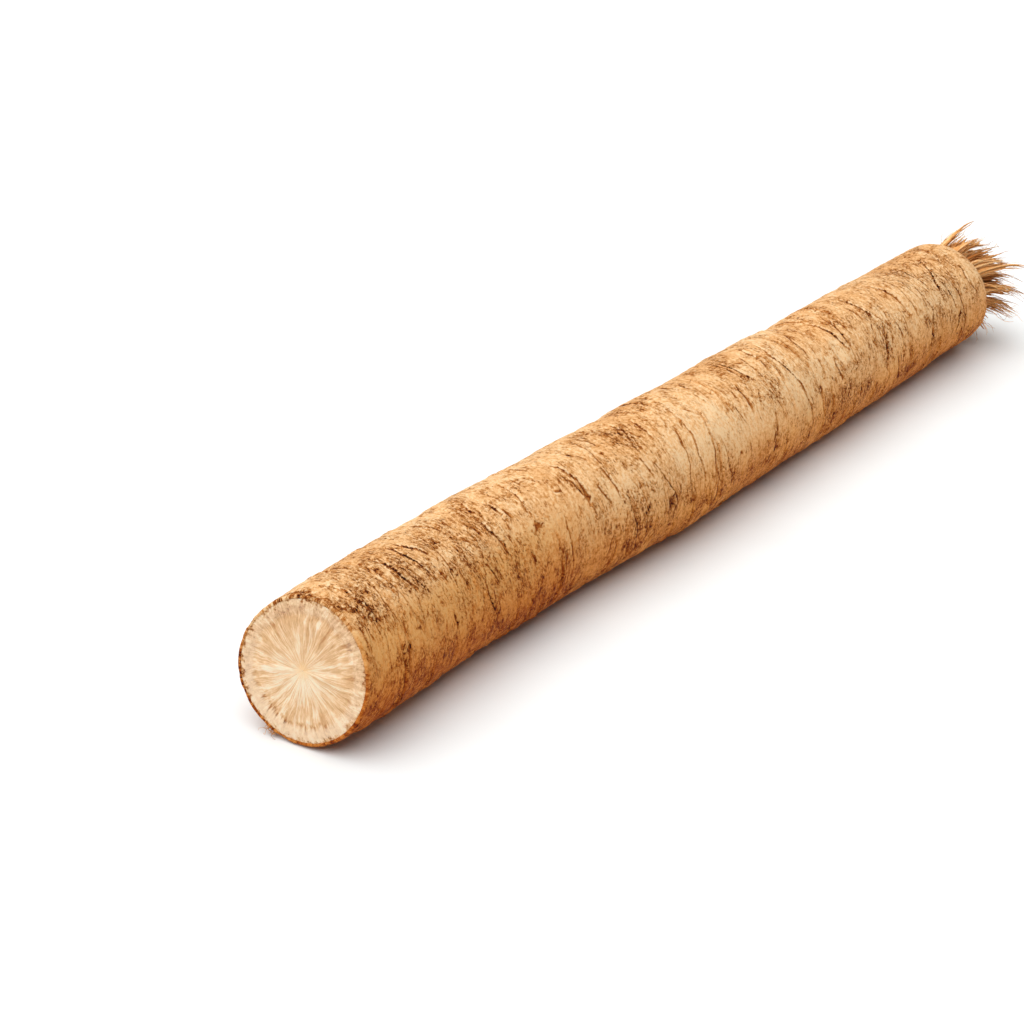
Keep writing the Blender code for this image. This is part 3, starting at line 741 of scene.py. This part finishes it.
def fibre_path(number, draw):
    """The points of one fibre of the CAD model, from inside the stub out to its tip."""
    spread = sqrt((number + 0.5) / FIBRE_COUNT)
    turn = number * GOLDEN_TURN + draw.uniform(-FIBRE_JITTER, FIBRE_JITTER)
    reach = FIBRE_REACH * spread
    place = Vector(placed(stub_top(reach) - FIBRE_SUNK, turn, reach * STUB_RADIUS))
    outward = Vector((0.0, sin(turn), cos(turn)))
    stray = Vector([draw.uniform(-STRAY, STRAY) for _ in range(3)])
    length = FIBRE_LENGTH[0] + (FIBRE_LENGTH[1] - FIBRE_LENGTH[0]) * draw.random() ** LONG_FIBRE_RARITY
    length *= 1.0 - WORN_SHARE * float(smooth(*WORN_SIDE, -outward.z * spread))
    droop = draw.uniform(*DROOP)
    steps = FIBRE_POINTS - 1
    points = [place.copy()]
    for step in range(steps):
        share = (step + 0.5) / steps
        tilt = spread * (START_TILT + (TIP_TILT - START_TILT) * share)
        heading = Vector((cos(tilt), 0.0, 0.0)) + outward * sin(tilt)
        heading += share * (SWEEP + 2.0 * stray)
        place += heading.normalized() * length / steps
        place.z -= droop * 2.0 * share / steps
        points.append(place.copy())
    for point in points:
        point.z = kept_up(point.z)
    return points


def along_path(path, shares):
    """Points at even shares of the way along a path, on a smooth curve through its points."""
    path = np.array(path)
    place = np.clip(shares, 0.0, 1.0) * (len(path) - 1)
    base = np.minimum(place.astype(int), len(path) - 2)
    t = (place - base)[:, None]
    before, after = np.maximum(base - 1, 0), np.minimum(base + 2, len(path) - 1)
    p0, p1, p2, p3 = path[before], path[base], path[base + 1], path[after]
    square = 2 * p0 - 5 * p1 + 4 * p2 - p3
    cube = 3 * p1 - p0 - 3 * p2 + p3
    return 0.5 * (2 * p1 + (p2 - p0) * t + square * t**2 + cube * t**3)


class Strands:
    """Flattened, tapering tubes in one piece. Each point has a shade and its share of the tube's length."""

    def __init__(self):
        self.verts, self.faces, self.shade, self.along, self.total = [], [], [], [], 0

    def add(self, points, widths, flatness, sides, twist, shade):
        ahead = np.gradient(points, axis=0)
        ahead /= np.linalg.norm(ahead, axis=1, keepdims=True)
        up = np.cross(ahead, [cos(twist), sin(twist), 0.3])
        up /= np.linalg.norm(up, axis=1, keepdims=True)
        across = np.cross(ahead, up)
        turns = np.linspace(0.0, 2 * pi, sides, endpoint=False)[None, :, None]
        ring = np.cos(turns) * across[:, None] + flatness * np.sin(turns) * up[:, None]
        self.verts.append((points[:, None] + widths[:, None, None] * ring).reshape(-1, 3))
        corner = self.total + np.arange(len(points) * sides).reshape(-1, sides)
        self.faces += [*quads(corner), corner[0, ::-1].tolist(), corner[-1].tolist()]
        self.shade.append(np.full(corner.size, shade))
        self.along.append(np.repeat(np.linspace(0, 1, len(points)), sides))
        self.total += corner.size

    def add_hair(self, points, taper, shade):
        """A thin round hair, whose radius goes from one share of HAIR_RADIUS to another."""
        self.add(points, HAIR_RADIUS * np.linspace(*taper, len(points)), 1.0, HAIR_SIDES, 0.0, shade)

    def finish(self, name, made_of, stands_for):
        mesh = bpy.data.meshes.new(name)
        mesh.from_pydata(np.concatenate(self.verts).tolist(), [], self.faces)
        mesh.shade_smooth()
        shade, along = np.concatenate(self.shade), np.concatenate(self.along)
        add_piece(name, mesh, made_of, "dry_fibre", stands_for, shade=shade, along=along)


def inside_box(points):
    """Keeps a strand within the CAD model's box and off the ground."""
    low, high = np.array(cad_box)
    return np.clip(points, low + [0, 0, GROUND_GAP], high + [TIP_ROOM, 0, 0])


def curl(draw, shares, size):
    """A smooth random sideways path that starts at nothing. Only the first three phases drawn are used."""
    phases = [draw.uniform(0, 2 * pi) for _ in range(6)]
    turns = [draw.uniform(*CURL_TURNS) for _ in range(3)]
    paths = [np.sin(2 * pi * turn * shares + p) - sin(p) for turn, p in zip(turns, phases)]
    return size * shares[:, None] * np.stack(paths, axis=1)


def make_strands(made_of):
    guide_draw = random.Random(FIBRE_SEED)
    draw = random.Random(STRAND_SEED)
    guides = [fibre_path(number, guide_draw) for number in range(FIBRE_COUNT)]
    strands = Strands()
    taper, power = STRAND_TAPER
    tapering = 1.0 - taper * np.linspace(0, 1, STRAND_POINTS) ** power
    for guide in guides:
        lock_shade = draw.uniform(*LOCK_SHADE)
        lock_twist = draw.uniform(0, pi)
        for count, thin, thick, shortest, longest in STRAND_KINDS:
            for _ in range(count):
                shares = np.linspace(0.0, draw.uniform(shortest, longest), STRAND_POINTS)
                turn, reach = draw.uniform(0, 2 * pi), LOCK_RADIUS * sqrt(draw.random())
                offset = np.array([0.0, reach * cos(turn), reach * sin(turn)])
                points = along_path(guide, shares) + offset * (1.0 - LOCK_NARROWING * shares[:, None])
                points += curl(draw, shares, STRAND_CURL)
                widths = draw.uniform(thin, thick) * tapering
                shade = min(1.0, max(0.0, lock_shade + draw.uniform(-STRAND_SHADES, STRAND_SHADES)))
                twist = lock_twist + draw.uniform(-STRAND_TWIST, STRAND_TWIST)
                strands.add(inside_box(points), widths, STRAND_FLATNESS, STRAND_SIDES, twist, shade)
    for _ in range(HAIR_COUNT):
        guide = guides[draw.randrange(FIBRE_COUNT)]
        shares = np.linspace(draw.uniform(*HAIR_START), 1.0, HAIR_POINTS)
        points = along_path(guide, shares) + curl(draw, np.linspace(0, 1, HAIR_POINTS), HAIR_CURL)
        strands.add_hair(inside_box(points), HAIR_TAPER, draw.uniform(*HAIR_SHADE))
    strands.finish("crown_strands", made_of, "crown_fibres")


def make_rim_hairs(made_of):
    """A few torn wisps that hang off the bark at the lower left of the cut."""
    draw = random.Random(RIM_HAIR_SEED)
    strands = Strands()
    station, radius = RIM_HAIR_ROOT
    shares = np.linspace(0.0, 1.0, RIM_HAIR_POINTS)
    for _ in range(RIM_HAIRS):
        angle = radians(draw.gauss(*RIM_HAIR_TURN))
        outward = np.array([draw.uniform(*RIM_HAIR_LEAN), sin(angle), cos(angle)])
        length = draw.uniform(*RIM_HAIR_LENGTH)
        points = placed(station, angle, radius) + length * shares[:, None] * outward
        points += curl(draw, shares, RIM_HAIR_CURL)
        points[:, 2] = np.maximum(points[:, 2], RIM_HAIR_LOWEST)
        strands.add_hair(points, RIM_HAIR_TAPER, draw.uniform(*RIM_HAIR_SHADE))
    strands.finish("rim_hairs", made_of, None)


def make_stub(made_of):
    shares = np.sin(np.linspace(pi / 2, 0.02, STUB_RINGS))
    dome = [(share, stub_top(share)) for share in (1.0, *shares)]
    share, height, angle = round_grid([(1.0, SEAT_BOTTOM + STUB_GAP), *dome], STUB_SEGMENTS)
    flat = np.stack([share * np.cos(angle), share * np.sin(angle), 0 * share], axis=-1) * STUB_RADIUS / MM
    rough = MM * layered(flat, STUB_NOISE) * smooth(0.0, 0.3, 1.0 - share)
    points = placed(height + rough, angle, share * STUB_RADIUS)
    mesh = grid_mesh("crown_stub", points, end=placed(stub_top(0.0), 0.0, 0.0))
    shade = STUB_SHADE + layered(flat, STUB_SHADES)
    add_piece("crown_stub", mesh, made_of, "dry_fibre", "crown_fibres", shade=shade, along=0 * share)


# Tones of bark and flesh from the darkest to the palest, as (place on the ramp, sRGB)
BARK_TONES = (
    (0.00, (50, 13, 3)), (0.18, (122, 52, 11)), (0.38, (176, 100, 38)), (0.58, (210, 144, 78)),
    (0.74, (237, 180, 120)), (0.88, (252, 202, 146)), (1.00, (255, 217, 168)),
)
FLESH_TONES = (
    (0.00, (112, 58, 22)), (0.25, (186, 122, 70)), (0.50, (222, 173, 124)), (0.70, (240, 196, 148)),
    (0.85, (253, 216, 175)), (1.00, (255, 235, 205)),
)

# How much the main marks lighten or darken the bark, on the scale of BARK_TONES
BARK_BASE = 0.91
# Painted shade: how much darker the bark is made towards the bottom of the root
UNDERSIDE_PAINTED_SHADE = -0.28
FOLD_LINES = -0.26
FLECKS = -0.46
# Painted highlight: one edge of each crack made lighter
CRACK_LIP_PAINTED_HIGHLIGHT = 0.20
CRACK_STAIN = -0.17
CRACK_TWIN = -0.40
CRACK_LINE = -0.56
BARK_BUMP = 0.00032
# The same for the flesh, on the scale of FLESH_TONES
FLESH_BASE = 0.83
DOTTED_RING = -0.40
TORN_SKIN = -0.30
FLESH_BUMP = 0.00020


def tone(*screen):
    """A linear colour from 0 to 255 screen values."""
    values = [value / 255.0 for value in screen]
    return *(v / 12.92 if v <= 0.04045 else ((v + 0.055) / 1.055) ** 2.4 for v in values), 1.0


class Nodes:
    """Short names for the shader nodes that the materials use."""

    def __init__(self, name):
        self.material = bpy.data.materials.new(name)
        self.material.use_nodes = True
        self.tree = self.material.node_tree
        self.shader = self.tree.nodes["Principled BSDF"]

    def put(self, socket, value):
        if isinstance(value, bpy.types.NodeSocket):
            self.tree.links.new(value, socket)
        else:
            socket.default_value = value

    def add(self, kind, inputs, output=0, **settings):
        """The output of a new node with these inputs and settings."""
        made = self.tree.nodes.new("ShaderNode" + kind)
        for name, value in settings.items():
            setattr(made, name, value)
        for name, value in inputs.items():
            self.put(made.inputs[name], value)
        return made.outputs[output]

    def attributes(self, *names, output="Fac"):
        return [self.add("Attribute", {}, output, attribute_name=name) for name in names]

    def maths(self, operation, a, b=0.0):
        return self.add("Math", {0: a, 1: b}, operation=operation)

    def noise(self, vector, size, detail=4.0, rough=0.55, distortion=0.0):
        """Noise with so many cells per unit of each of the vector's three parts."""
        scaled = self.add("VectorMath", {0: vector, 1: size}, operation="MULTIPLY")
        inputs = {"Vector": scaled, "Scale": 1.0, "Detail": detail, "Roughness": rough}
        return self.add("TexNoise", {**inputs, "Distortion": distortion}, "Fac")

    def span(self, value, low, high, to_low=0.0, to_high=1.0):
        """Smoothly turns low..high into to_low..to_high."""
        inputs = {0: value, 1: low, 2: high, 3: to_low, 4: to_high}
        return self.add("MapRange", inputs, interpolation_type="SMOOTHSTEP")

    def mix(self, share, a, b, blend="MIX"):
        return self.add("Mix", {0: share, 6: a, 7: b}, 2, data_type="RGBA", blend_type=blend)

    def tint(self, share, colour, factors):
        """The colour, multiplied by three factors as far as the share says."""
        return self.mix(share, colour, (*factors, 1.0), "MULTIPLY")

    def ramp(self, value, tones):
        """The tone that the value picks between the ramp's ends."""
        made = self.tree.nodes.new("ShaderNodeValToRGB")
        stops = made.color_ramp.elements
        stops.remove(stops[0])
        for number, (place, colour) in enumerate(tones):
            stop = stops[0] if number == 0 else stops.new(place)
            stop.position = place
            stop.color = tone(*colour)
        self.put(made.inputs[0], value)
        return made.outputs[0]

    def total(self, *parts):
        """The sum of (value, weight) pairs and plain values."""
        found = 0.0
        for part in parts:
            value = self.maths("MULTIPLY", *part) if isinstance(part, tuple) else part
            found = self.maths("ADD", value, found)
        return found

    def near(self, value, middle, reach, soft):
        """1 where the value is within reach of the middle, falling to 0 over a soft edge."""
        away = self.maths("ABSOLUTE", self.maths("SUBTRACT", value, middle))
        return self.span(away, reach + soft, reach)

    def product(self, *shares):
        total = shares[0]
        for share in shares[1:]:
            total = self.maths("MULTIPLY", total, share)
        return total

    def bump(self, height, distance, strength=1.0):
        return self.add("Bump", {"Strength": strength, "Distance": distance, "Height": height})

    def finish(self, colour, rough, normal, specular):
        names = ("Base Color", "Roughness", "Normal", "Specular IOR Level")
        for name, value in zip(names, (colour, rough, normal, specular)):
            self.put(self.shader.inputs[name], value)
        return self.material


def bark_material():
    n = Nodes("bark")
    (place,) = n.attributes("place", output="Vector")
    across, crack, low, rim = n.attributes("across", "crack", "low", "rim")
    speckled, rubbed, earthy = n.attributes("speckled", "rubbed", "earthy")
    clouds = n.noise(place, (0.055, 0.07, 0.07), 3.0)
    mottle = n.noise(place, (0.34, 0.24, 0.24), 4.0, 0.60)
    streaks = n.noise(place, (1.5, 0.45, 0.45), 4.0, 0.66)
    grit = n.noise(place, (1.7, 1.35, 1.35), 4.0, 0.74)
    folds = n.noise(place, (0.95, 0.16, 0.16), 3.0, 0.55, 0.6)
    bands = n.noise(place, (0.34, 0.06, 0.06), 3.0)
    dashes = n.noise(place, (2.5, 1.0, 1.0), 4.0, 0.70, 0.3)
    specks = n.noise(place, (2.4, 2.0, 2.0), 4.0, 0.70, 0.2)
    uneven = n.noise(place, (0.5, 0.30, 0.30), 3.0, 0.6)
    worn = n.maths("SUBTRACT", 1.0, rubbed)
    coarse = n.total((n.span(mottle, 0.44, 0.60), worn), (speckled, 0.55))
    rough = n.total(0.55, (coarse, 0.50))
    # Dark flecks, thick in the speckled patches and nearly absent where the bark is rubbed
    crowd = n.total((speckled, 0.055), (n.span(mottle, 0.42, 0.62), 0.035), (rubbed, -0.05))
    dash_mark = n.span(n.total(dashes, crowd), 0.62, 0.69)
    speck_mark = n.span(n.total(specks, crowd), 0.63, 0.70)
    # Cracks: thin, wavy lines of uneven strength, a finer line beside them, a warm stain and a painted
    # highlight on one lip
    wavy = n.total(across, (streaks, 2.4), (grit, 1.6), -2.0)
    broken = n.product(crack, n.span(n.total(uneven, (grit, 0.4), -0.2), 0.30, 0.44, 0.30, 1.0))
    # Brightness, from the largest patches to the finest marks, with the knife's edge torn and brown
    value = n.total(
        BARK_BASE,
        n.span(clouds, 0.36, 0.64, -0.07, 0.07),
        n.span(bands, 0.54, 0.66, 0.0, 0.08),
        # Painted light and shade by height round the root: the top a little darker, the upper flank lighter,
        # the underside darker
        n.span(low, 0.0, 0.20, -0.07, 0.04),
        n.span(low, 0.25, 0.80, 0.0, UNDERSIDE_PAINTED_SHADE),
        (rubbed, 0.04),
        (coarse, -0.06),
        (n.span(streaks, 0.37, 0.64, 0.10, -0.17), rough),
        (n.span(grit, 0.37, 0.64, 0.18, -0.28), rough),
        (n.product(n.near(folds, 0.5, 0.006, 0.016), n.span(mottle, 0.40, 0.56, 0.2, 1.0)), FOLD_LINES),
        (n.maths("MAXIMUM", dash_mark, speck_mark), FLECKS),
        (n.product(crack, n.near(wavy, -1.3, 0.2, 0.8)), CRACK_LIP_PAINTED_HIGHLIGHT),
        (n.product(crack, n.near(wavy, 0.6, 0.4, 1.8), n.span(dashes, 0.40, 0.56, 0.2, 1.0)), CRACK_STAIN),
        (n.product(n.near(wavy, 2.0, 0.10, 0.45), broken, n.span(uneven, 0.48, 0.56)), CRACK_TWIN),
        (n.product(rim, n.span(grit, 0.42, 0.58, 0.1, 1.0)), -0.26),
    )
    line = n.product(n.near(wavy, 0.0, 0.70, 0.45), broken)
    value = n.total(value, (line, CRACK_LINE))
    # Painted shade: the underside is tinted deeper orange. The cut end is browner
    colour = n.tint(n.span(low, 0.05, 0.70), n.ramp(value, BARK_TONES), (0.88, 0.62, 0.32))
    colour = n.tint(earthy, colour, (0.86, 0.68, 0.44))
    normal = n.bump(n.total((value, 0.55), (grit, -0.6), (line, -0.5)), BARK_BUMP)
    return n.finish(colour, n.span(grit, 0.3, 0.7, 0.55, 0.75), normal, 0.10)


def flesh_material():
    n = Nodes("flesh")
    fan, flat = n.attributes("fan", "flat", output="Vector")
    share, low, stained, left = n.attributes("share", "low", "stained", "left")
    rays = n.noise(fan, (7.0, 7.0, 1.6), 3.0)
    threads = n.noise(fan, (19.0, 19.0, 2.8), 4.0, 0.62)
    fluff = n.noise(fan, (46.0, 46.0, 8.0), 3.0, 0.60)
    dashes = n.noise(fan, (22.0, 22.0, 6.0), 2.0, 0.5)
    clouds = n.noise(flat, (0.15, 0.15, 0.15), 3.0)
    grain = n.noise(flat, (1.2, 1.2, 1.2), 5.0, 0.70)
    mottle = n.noise(flat, (0.45, 0.45, 0.45), 4.0, 0.62)
    wavy = n.total(share, (threads, 0.22), (clouds, 0.10), -0.16)
    ragged = n.total(share, (mottle, 0.30), (grain, 0.16), -0.23)
    inner = n.span(share, 0.02, 0.12)
    outside = n.span(wavy, 0.72, 0.80)
    # The dotted ring under the skin, and the torn skin itself
    ring = n.product(n.span(wavy, 0.68, 0.73), n.span(wavy, 0.81, 0.75))
    stipple = n.product(n.span(dashes, 0.40, 0.58), n.span(low, 0.70, 0.97, 0.10, 1.0))
    skin = n.product(n.span(ragged, 0.90, 0.97), left)
    # Brightness: soft radial fibres inside, a fine grain in the outer ring, darker towards the top
    value = n.total(
        FLESH_BASE,
        n.span(clouds, 0.36, 0.64, -0.05, 0.05),
        n.span(share, 0.60, 0.08, 0.0, 0.13),
        n.span(low, 0.70, 0.05, 0.0, -0.09),
        (n.span(rays, 0.36, 0.64, -0.12, 0.09), inner),
        (n.span(threads, 0.38, 0.62, -0.14, 0.13), inner),
        (n.span(fluff, 0.38, 0.62, -0.09, 0.08), inner),
        (n.span(grain, 0.36, 0.62, 0.12, -0.16), outside),
        (n.span(mottle, 0.38, 0.62, 0.05, -0.11), n.span(share, 0.35, 0.80, 0.25, 1.0)),
        (n.product(ring, stipple), DOTTED_RING),
        (n.product(n.span(grain, 0.56, 0.64), n.span(share, 0.60, 0.90)), -0.10),
        (n.product(stained, n.span(threads, 0.40, 0.60, 0.4, 1.0)), -0.20),
        (n.product(n.span(rays, 0.50, 0.62), n.span(share, 0.34, 0.06)), -0.16),
        (n.product(n.span(mottle, 0.54, 0.66), n.span(ragged, 0.70, 0.92)), -0.16),
        (skin, TORN_SKIN),
    )
    # The pith is yellower, and the outer ring is paler and greyer, most of all at the bottom
    colour = n.mix(n.span(share, 0.16, 0.02, 0.0, 0.35), n.ramp(value, FLESH_TONES), tone(255, 208, 142))
    paler = n.product(outside, n.span(skin, 0.4, 0.0), n.span(low, 0.30, 0.90, 0.25, 0.60))
    colour = n.mix(paler, colour, tone(250, 222, 190))
    fibrous = n.total((threads, 0.8), (fluff, 0.6))
    normal = n.bump(n.total((fibrous, n.span(share, 0.0, 0.45)), (grain, 0.6)), FLESH_BUMP)
    for name, value in (("Weight", 0.12), ("Radius", (0.0020, 0.0012, 0.0007)), ("Scale", 1.0)):
        n.put(n.shader.inputs["Subsurface " + name], value)
    return n.finish(colour, n.span(threads, 0.3, 0.7, 0.66, 0.54), normal, 0.15)


def fibre_material():
    n = Nodes("dry_fibre")
    shade, along = n.attributes("shade", "along")
    threads = n.noise(n.add("TexCoord", {}, "Object"), (400, 3000, 3000), 3.0, 0.6)
    colour = n.mix(n.span(shade, 0.0, 0.5), tone(178, 108, 50), tone(232, 166, 98))
    colour = n.mix(n.span(shade, 0.5, 1.0), colour, tone(255, 210, 150))
    colour = n.mix(n.span(along, 0.35, 0.0, 0.0, 0.45), colour, tone(150, 92, 44))
    colour = n.mix(n.span(threads, 0.50, 0.66, 0.0, 0.45), colour, tone(140, 84, 38))
    return n.finish(colour, 0.70, n.bump(threads, 0.0001, 0.6), 0.10)


def make_floor():
    mesh = bpy.data.meshes.new("floor")
    sides = ((-1, -1), (1, -1), (1, 1), (-1, 1))
    mesh.from_pydata([(x * FLOOR_HALF, y * FLOOR_HALF, -FLOOR_DROP) for x, y in sides], [], [(0, 1, 2, 3)])
    floor = add_object("floor", mesh)
    n = Nodes("floor")
    paper = n.noise(n.add("TexCoord", {}, "Object"), (40, 40, 40), 2.0)
    colour = n.mix(n.span(paper, 0.3, 0.7), *FLOOR_TONES)
    mesh.materials.append(n.finish(colour, 0.9, n.bump(paper, 0.00001, 0.1), 0.1))


def make_camera():
    lens = bpy.data.cameras.new("camera")
    lens.sensor_width = SENSOR
    lens.lens = FOCAL_PIXELS / PHOTO_PIXELS * SENSOR
    lens.clip_start = 0.01
    camera = add_object("camera", lens)
    camera.rotation_euler = (pi / 2 - CAMERA_DIP, 0.0, -CAMERA_TURN)
    right, down, forward = CUT_IN_VIEW
    offset = camera.rotation_euler.to_matrix() @ Vector((right, -down, -forward))
    camera.location = Vector(placed(0.0, 0.0, 0.0)) - CUT_RADIUS * offset
    bpy.context.scene.camera = camera


def make_lights():
    """The light overhead and the room, which leave only a soft shadow close to the root."""
    toward = Vector(LIGHT_TOWARD).normalized()
    lamp = bpy.data.lights.new("overhead", "AREA")
    lamp.shape = "DISK"
    lamp.size = LIGHT_SIZE
    lamp.energy = LIGHT_POWER
    light = add_object("overhead", lamp)
    light.location = toward * LIGHT_DISTANCE
    light.rotation_euler = toward.to_track_quat("Z", "Y").to_euler()
    world = bpy.data.worlds.new("studio")
    world.use_nodes = True
    background = world.node_tree.nodes["Background"]
    background.inputs["Color"].default_value = (1.0, 1.0, 1.0, 1.0)
    background.inputs["Strength"].default_value = ROOM_BRIGHTNESS
    bpy.context.scene.world = world
    bpy.context.scene.view_settings.view_transform = "Standard"


def main():
    fibre = fibre_material()
    make_bark(bark_material())
    make_flesh(flesh_material())
    make_stub(fibre)
    make_strands(fibre)
    make_rim_hairs(fibre)
    make_floor()
    make_lights()
    make_camera()


main()
